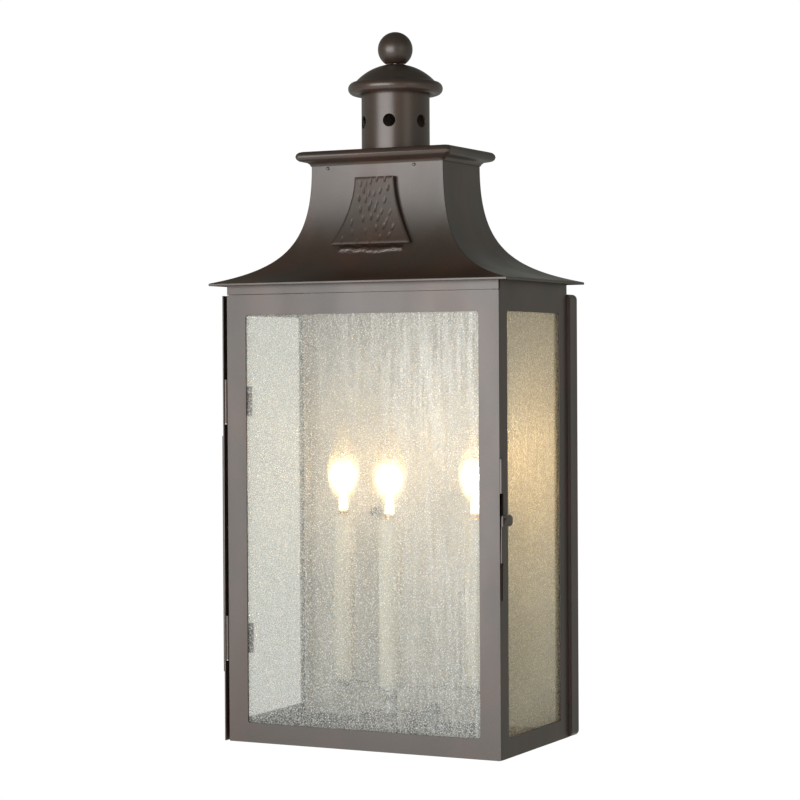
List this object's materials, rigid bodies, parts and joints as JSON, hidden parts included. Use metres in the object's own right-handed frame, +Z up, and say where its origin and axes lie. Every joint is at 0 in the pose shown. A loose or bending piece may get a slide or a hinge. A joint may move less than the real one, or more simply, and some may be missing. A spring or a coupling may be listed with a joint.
{
  "type": "wall lantern",
  "caption": "Outdoor wall lantern: a tall sheet-metal box with a hinged glazed door, seeded glass sides, candle lamps, a swept roof, a vented chimney and a ball finial.",
  "frame": {"origin": "middle of the mounting crossbar's rear face, on the wall plane, half way up the wall pan", "axes": "+Y goes into the wall, +X is to the right seen from the front, +Z is up; the door faces -Y"},
  "size_m": [0.306, 0.1824, 0.6645],
  "materials": {
    "paint": "satin dark bronze paint",
    "badge_paint": "hammered, satin dark bronze paint",
    "bright_aluminium": "bright rolled sheet",
    "plated_steel": "zinc plated",
    "brass": "plain",
    "candle_sleeve": "matte ivory",
    "socket": "moulded phenolic",
    "rubber": "matte",
    "seeded_glass": "clear with seeds and fine reams",
    "bulb_glass": "clear, lit from inside"
  },
  "bodies": {
    "lantern": {"wall_pan": "paint", "back_panel": "paint", "reflector_plate": "bright_aluminium", "bottom_plate": "paint", "left_side_frame": "paint", "right_side_frame": "paint", "header_rail": "paint", "left_glass": "seeded_glass", "left_glass_retainer": "paint", "right_glass": "seeded_glass", "right_glass_retainer": "paint", "hinge_jamb": "paint", "lower_hinge_pin": "plated_steel", "upper_hinge_pin": "plated_steel", "lower_hinge_body_leaf": "paint", "upper_hinge_body_leaf": "paint", "roof_shell": "paint", "cornice_plate": "paint", "neck_rivet_left": "paint", "neck_rivet_right": "paint", "badge_plate": "badge_paint", "chimney_tube": "paint", "chimney_strap": "plated_steel", "rod_nut": "plated_steel", "finial_rod": "plated_steel", "chimney_cap": "paint", "ball_finial": "paint", "lamp_bracket": "plated_steel", "lamp_canopy": "paint", "bracket_stem": "plated_steel", "left_candle_sleeve": "candle_sleeve", "left_lamp_socket": "socket", "left_bulb_base": "brass", "left_bulb_glass": "bulb_glass", "middle_candle_sleeve": "candle_sleeve", "middle_lamp_socket": "socket", "middle_bulb_base": "brass", "middle_bulb_glass": "bulb_glass", "right_candle_sleeve": "candle_sleeve", "right_lamp_socket": "socket", "right_bulb_base": "brass", "right_bulb_glass": "bulb_glass", "lamp_lead": "rubber", "lead_grommet": "rubber", "mounting_crossbar": "plated_steel", "ground_screw": "brass", "mounting_stud_left": "plated_steel", "mounting_stud_right": "plated_steel", "cap_nut_left": "paint", "cap_nut_right": "paint"},
    "door": {"door_frame": "paint", "door_glass": "seeded_glass", "door_glass_retainer": "paint", "lower_hinge_door_leaf": "paint", "upper_hinge_door_leaf": "paint", "latch_rivet": "paint"},
    "latch": {"latch_lever": "paint"}
  },
  "joints": [
    {"name": "door_hinge", "type": "hinge", "parent": "lantern", "child": "door", "pos_m": [-0.142, -0.1696, 0], "axis": [0, 0, -1], "range_deg": [0, 110]},
    {"name": "latch_turn", "type": "hinge", "parent": "door", "child": "latch", "pos_m": [0.1425, -0.1649, 0.004], "axis": [1, 0, 0], "range_deg": [0, 80]}
  ]
}
